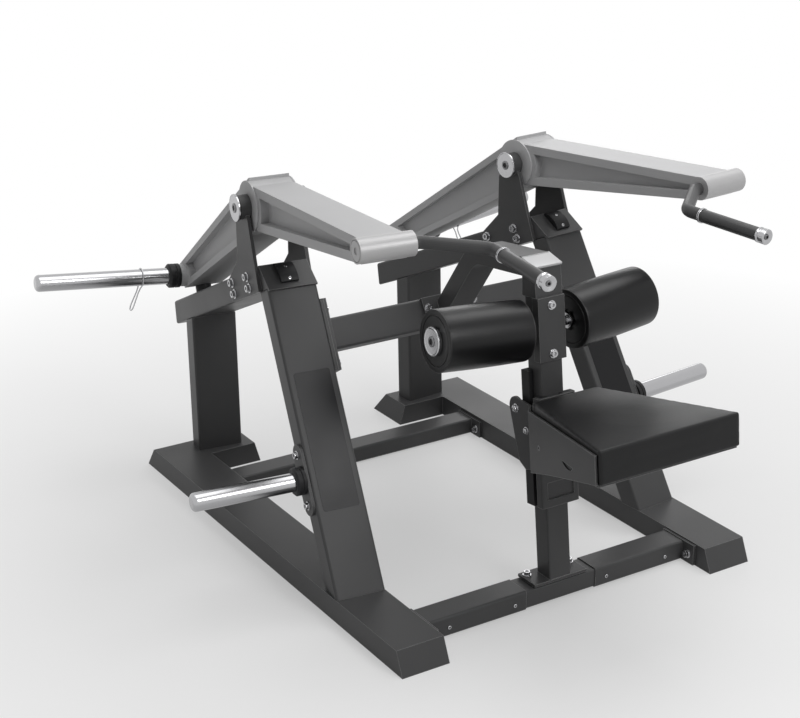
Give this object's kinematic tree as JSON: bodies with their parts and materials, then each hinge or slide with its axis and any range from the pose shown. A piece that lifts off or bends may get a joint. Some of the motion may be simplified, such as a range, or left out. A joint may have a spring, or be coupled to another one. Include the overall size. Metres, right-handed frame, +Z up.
{
  "type": "seated triceps press",
  "caption": "plate-loaded seated triceps press with two independent lever arms, thigh rollers and a height-adjustable seat",
  "frame": {"origin": "middle of the bounding box, on the floor", "axes": "X to the sitter's right, Y to the rear of the machine, Z up"},
  "size_m": [1.7756, 1.8261, 1.0849],
  "materials": {
    "frame_paint": "satin",
    "arm_paint": "satin",
    "tube_paint": "satin",
    "chrome": "polished",
    "fasteners": "polished",
    "rubber": "matte",
    "plastic": "matte",
    "vinyl": "satin"
  },
  "bodies": {
    "frame": {"left_base_rail": "frame_paint", "right_base_rail": "frame_paint", "front_crossbar": "frame_paint", "left_bar_sleeve": "frame_paint", "right_bar_sleeve": "frame_paint", "rear_crossbar": "frame_paint", "left_rear_post": "frame_paint", "right_rear_post": "frame_paint", "left_upright": "frame_paint", "right_upright": "frame_paint", "left_top_beam": "frame_paint", "right_top_beam": "frame_paint", "left_outer_pivot_plate": "frame_paint", "left_inner_pivot_plate": "frame_paint", "right_outer_pivot_plate": "frame_paint", "right_inner_pivot_plate": "frame_paint", "left_pivot_shaft": "chrome", "right_pivot_shaft": "chrome", "left_bumper": "rubber", "right_bumper": "rubber", "left_rest_stop": "rubber", "right_rest_stop": "rubber", "upper_crossbar": "frame_paint", "gooseneck": "frame_paint", "head_plate": "frame_paint", "seat_column": "frame_paint", "left_storage_bracket": "frame_paint", "right_storage_bracket": "frame_paint", "left_storage_horn": "chrome", "right_storage_horn": "chrome", "left_storage_collar": "rubber", "right_storage_collar": "rubber", "roller_shaft": "chrome", "frame_bolts": "fasteners"},
    "seat": {"seat_carriage": "frame_paint", "guide_strips": "plastic", "left_seat_plate": "frame_paint", "right_seat_plate": "frame_paint", "seat_base": "frame_paint", "seat_pad": "vinyl"},
    "latch": {"latch_pin": "plastic"},
    "left_thigh_roller": {"left_roller": "vinyl"},
    "right_thigh_roller": {"right_roller": "vinyl"},
    "left_arm": {"left_arm_beam": "arm_paint", "left_end_tube": "tube_paint", "left_handle": "frame_paint", "left_grip": "rubber", "left_handle_trim": "chrome", "left_weight_horn": "chrome", "left_horn_collar": "rubber"},
    "left_clip": {"left_horn_clip": "chrome"},
    "right_arm": {"right_arm_beam": "arm_paint", "right_end_tube": "tube_paint", "right_handle": "frame_paint", "right_grip": "rubber", "right_handle_trim": "chrome", "right_weight_horn": "chrome", "right_horn_collar": "rubber"},
    "right_clip": {"right_horn_clip": "chrome"}
  },
  "joints": [
    {"name": "left_arm_swing", "type": "hinge", "parent": "frame", "child": "left_arm", "pos_m": [-0.4357, 0.259, 0.9743], "axis": [0.9938, -0.1108, 0], "range_deg": [0, 40]},
    {"name": "left_clip_slide", "type": "slide", "parent": "left_arm", "child": "left_clip", "axis": [-0.9901, 0.1104, 0.0863], "range_m": [-0.075, 0.3]},
    {"name": "left_roller_spin", "type": "hinge", "parent": "frame", "child": "left_thigh_roller", "pos_m": [0, -0.40546, 0.7403], "axis": [-0.9958, 0.0707, 0.059], "continuous": true},
    {"name": "right_arm_swing", "type": "hinge", "parent": "frame", "child": "right_arm", "pos_m": [0.4357, 0.259, 0.9743], "axis": [0.9938, 0.1108, 0], "range_deg": [0, 40]},
    {"name": "right_clip_slide", "type": "slide", "parent": "right_arm", "child": "right_clip", "axis": [0.9901, 0.1104, 0.0863], "range_m": [-0.075, 0.3]},
    {"name": "right_roller_spin", "type": "hinge", "parent": "frame", "child": "right_thigh_roller", "pos_m": [0, -0.40546, 0.7403], "axis": [0.9958, 0.0707, 0.059], "continuous": true},
    {"name": "seat_slide", "type": "slide", "parent": "frame", "child": "seat", "axis": [0, 0.1191, 0.9929], "range_m": [-0.16, 0.04]},
    {"name": "latch_pin_slide", "type": "slide", "parent": "seat", "child": "latch", "axis": [1, 0, 0], "range_m": [-0.012, 0.002]}
  ]
}
